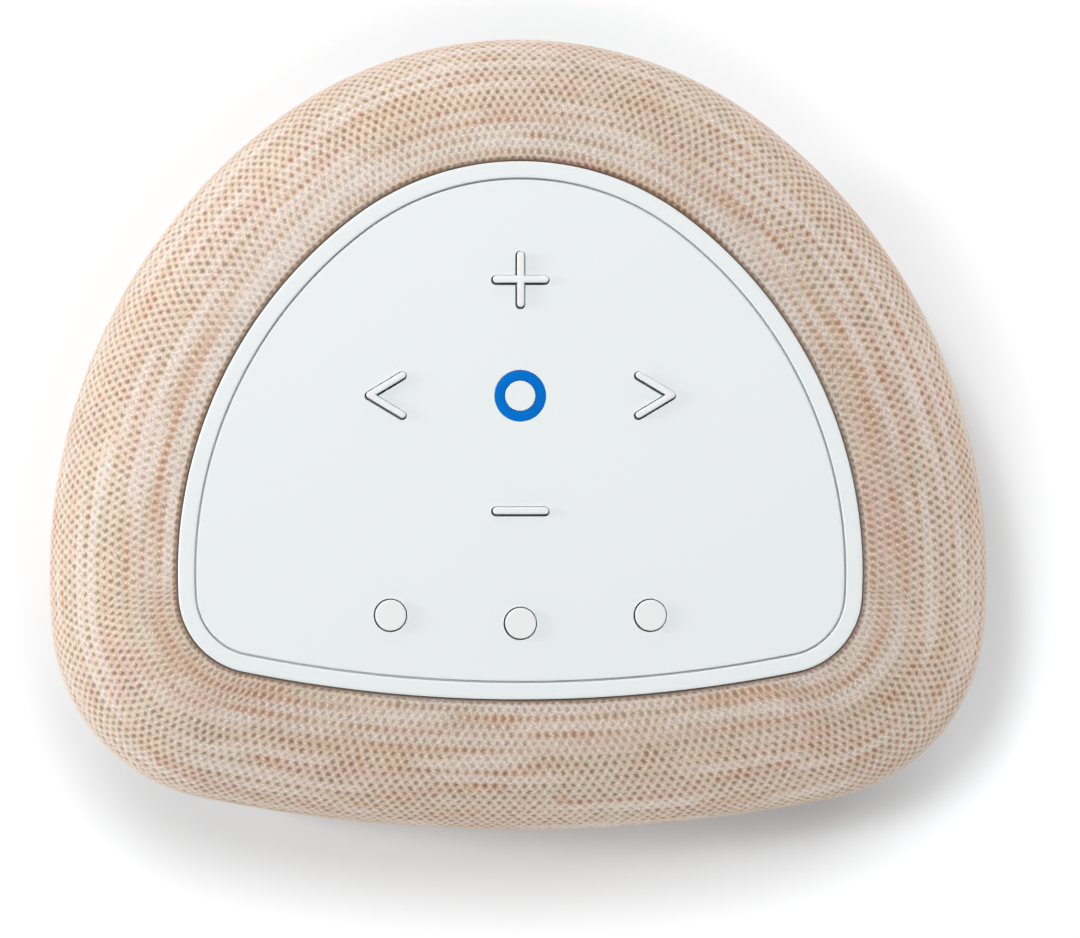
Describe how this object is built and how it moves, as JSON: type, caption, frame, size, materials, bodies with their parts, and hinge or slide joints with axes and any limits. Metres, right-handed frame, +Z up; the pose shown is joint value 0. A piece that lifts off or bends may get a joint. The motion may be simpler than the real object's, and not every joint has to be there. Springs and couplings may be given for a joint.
{
  "type": "wireless speaker",
  "caption": "Table speaker with a rounded-triangle knit cover and a flush key panel with a light ring on top.",
  "frame": {"origin": "on the table under the middle of the bounding box", "axes": "+X to the right seen from the front, +Y to the narrow back, +Z up"},
  "size_m": [0.21, 0.177, 0.1408],
  "materials": {
    "fabric_cover": "heather knit",
    "grille_frame": "moulded",
    "base_plate": "fine texture",
    "foot_ring": "matt",
    "panel_bezel": "satin",
    "control_plate": "satin",
    "light_ring": "tinted light guide",
    "volume_up_key": "satin",
    "volume_down_key": "satin",
    "previous_key": "satin",
    "next_key": "satin",
    "play_key": "satin",
    "left_round_key": "satin",
    "middle_round_key": "satin",
    "right_round_key": "satin",
    "key_mat": "soft",
    "control_board": "solder mask",
    "tact_switches": "moulded",
    "ring_leds": "clear",
    "panel_carrier": "moulded",
    "cabinet": "moulded",
    "cabinet_lid": "moulded",
    "lid_gasket": "foam",
    "woofer_gasket": "foam",
    "woofer_basket": "black paint",
    "woofer_yoke": "plated",
    "woofer_ring_magnet": "sintered",
    "woofer_top_plate": "plated",
    "woofer_cone": "coated",
    "woofer_dust_cap": "coated",
    "woofer_voice_coil": "wound wire",
    "woofer_surround": "matt",
    "woofer_spider": "treated cloth",
    "left_tweeter_plate": "moulded",
    "left_tweeter_dome": "treated silk",
    "left_tweeter_magnet": "shielding can",
    "right_tweeter_plate": "moulded",
    "right_tweeter_dome": "treated silk",
    "right_tweeter_magnet": "shielding can",
    "radiator_frame": "black paint",
    "radiator_surround": "matt",
    "radiator_plate": "anodised",
    "main_board": "solder mask",
    "heat_sink": "extruded",
    "capacitors": "sleeved",
    "wireless_module": "shield can",
    "battery_holder": "moulded",
    "battery_cells": "shrink sleeve",
    "battery_board": "solder mask",
    "port_housing": "fine texture",
    "port_board": "solder mask",
    "usb_socket": "plated",
    "aux_socket": "moulded",
    "ribbon_cable": "film",
    "lid_screws": "plated",
    "driver_screws": "plated",
    "base_screws": "plated"
  },
  "bodies": {
    "speaker": {"fabric_cover": "fabric_cover", "grille_frame": "grille_frame", "base_plate": "base_plate", "foot_ring": "foot_ring", "panel_bezel": "panel_bezel", "control_plate": "control_plate", "light_ring": "light_ring", "key_mat": "key_mat", "control_board": "control_board", "tact_switches": "tact_switches", "ring_leds": "ring_leds", "panel_carrier": "panel_carrier", "cabinet": "cabinet", "cabinet_lid": "cabinet_lid", "lid_gasket": "lid_gasket", "woofer_gasket": "woofer_gasket", "woofer_basket": "woofer_basket", "woofer_yoke": "woofer_yoke", "woofer_ring_magnet": "woofer_ring_magnet", "woofer_top_plate": "woofer_top_plate", "woofer_surround": "woofer_surround", "woofer_spider": "woofer_spider", "left_tweeter_plate": "left_tweeter_plate", "left_tweeter_dome": "left_tweeter_dome", "left_tweeter_magnet": "left_tweeter_magnet", "right_tweeter_plate": "right_tweeter_plate", "right_tweeter_dome": "right_tweeter_dome", "right_tweeter_magnet": "right_tweeter_magnet", "radiator_frame": "radiator_frame", "radiator_surround": "radiator_surround", "main_board": "main_board", "heat_sink": "heat_sink", "capacitors": "capacitors", "wireless_module": "wireless_module", "battery_holder": "battery_holder", "battery_cells": "battery_cells", "battery_board": "battery_board", "port_housing": "port_housing", "port_board": "port_board", "usb_socket": "usb_socket", "aux_socket": "aux_socket", "ribbon_cable": "ribbon_cable", "lid_screws": "lid_screws", "driver_screws": "driver_screws", "base_screws": "base_screws"},
    "volume_up_key": {"volume_up_key": "volume_up_key"},
    "volume_down_key": {"volume_down_key": "volume_down_key"},
    "previous_key": {"previous_key": "previous_key"},
    "next_key": {"next_key": "next_key"},
    "play_key": {"play_key": "play_key"},
    "left_round_key": {"left_round_key": "left_round_key"},
    "middle_round_key": {"middle_round_key": "middle_round_key"},
    "right_round_key": {"right_round_key": "right_round_key"},
    "woofer_moving_assembly": {"woofer_cone": "woofer_cone", "woofer_dust_cap": "woofer_dust_cap", "woofer_voice_coil": "woofer_voice_coil"},
    "passive_radiator": {"radiator_plate": "radiator_plate"}
  },
  "joints": [
    {"name": "volume_up_key_press", "type": "slide", "parent": "speaker", "child": "volume_up_key", "axis": [0, 0, -1], "range_m": [0, 0.00045], "stiffness_N_per_m": 800, "deforming": ["key_mat"]},
    {"name": "volume_down_key_press", "type": "slide", "parent": "speaker", "child": "volume_down_key", "axis": [0, 0, -1], "range_m": [0, 0.00045], "stiffness_N_per_m": 800, "deforming": ["key_mat"]},
    {"name": "previous_key_press", "type": "slide", "parent": "speaker", "child": "previous_key", "axis": [0, 0, -1], "range_m": [0, 0.00045], "stiffness_N_per_m": 800, "deforming": ["key_mat"]},
    {"name": "next_key_press", "type": "slide", "parent": "speaker", "child": "next_key", "axis": [0, 0, -1], "range_m": [0, 0.00045], "stiffness_N_per_m": 800, "deforming": ["key_mat"]},
    {"name": "play_key_press", "type": "slide", "parent": "speaker", "child": "play_key", "axis": [0, 0, -1], "range_m": [0, 0.00045], "stiffness_N_per_m": 800, "deforming": ["key_mat"]},
    {"name": "left_round_key_press", "type": "slide", "parent": "speaker", "child": "left_round_key", "axis": [0, 0, -1], "range_m": [0, 0.00045], "stiffness_N_per_m": 800, "deforming": ["key_mat"]},
    {"name": "middle_round_key_press", "type": "slide", "parent": "speaker", "child": "middle_round_key", "axis": [0, 0, -1], "range_m": [0, 0.00045], "stiffness_N_per_m": 800, "deforming": ["key_mat"]},
    {"name": "right_round_key_press", "type": "slide", "parent": "speaker", "child": "right_round_key", "axis": [0, 0, -1], "range_m": [0, 0.00045], "stiffness_N_per_m": 800, "deforming": ["key_mat"]},
    {"name": "cone_stroke", "type": "slide", "parent": "speaker", "child": "woofer_moving_assembly", "axis": [0, -1, 0], "range_m": [-0.0025, 0.0025], "stiffness_N_per_m": 1500, "deforming": ["woofer_surround", "woofer_spider"]},
    {"name": "radiator_stroke", "type": "slide", "parent": "speaker", "child": "passive_radiator", "axis": [0, 1, 0], "range_m": [-0.0025, 0.0025], "stiffness_N_per_m": 1000, "deforming": ["radiator_surround"]}
  ]
}
